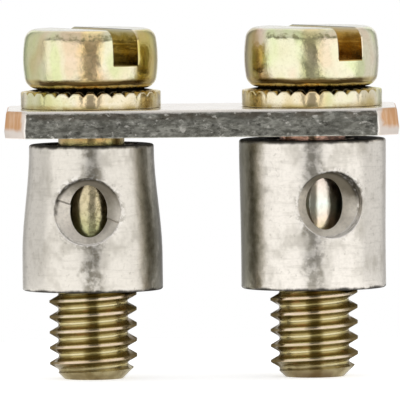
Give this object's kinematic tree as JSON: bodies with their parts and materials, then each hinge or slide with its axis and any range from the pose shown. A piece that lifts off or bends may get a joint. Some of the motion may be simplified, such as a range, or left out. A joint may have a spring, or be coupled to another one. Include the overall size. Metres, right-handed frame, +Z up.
{
  "type": "terminal cross connector",
  "caption": "Flat plated link bar that bridges neighbouring terminals, clamped by slotted thin-shank screws with toothed lock washers above it and drilled contact sleeves below.",
  "frame": {"origin": "midway between the two screws, on the plane of their tips", "axes": "+X along the link bar, +Z up along the screws towards their heads, the drilled side of the sleeves faces -Y"},
  "size_m": [0.0178, 0.007, 0.0159],
  "materials": {
    "tinned_bar": "tin-plated copper, drawn strip, with bare copper where the corners were clipped",
    "yellow_zinc": "steel, zinc plated and yellow passivated, faintly iridescent",
    "tinned_sleeve": "turned brass, dull tin plated, with drag marks"
  },
  "bodies": {
    "connector": {"link_bar": "tinned_bar", "left_lock_washer": "yellow_zinc", "right_lock_washer": "yellow_zinc", "left_sleeve": "tinned_sleeve", "right_sleeve": "tinned_sleeve"},
    "left_screw": {"left_screw": "yellow_zinc"},
    "right_screw": {"right_screw": "yellow_zinc"}
  },
  "joints": [
    {"name": "left_screw_turn", "type": "hinge", "parent": "connector", "child": "left_screw", "pos_m": [-0.005, 0, 0.01315], "axis": [0, 0, 1], "continuous": true},
    {"name": "right_screw_turn", "type": "hinge", "parent": "connector", "child": "right_screw", "pos_m": [0.005, 0, 0.01315], "axis": [0, 0, 1], "continuous": true}
  ]
}
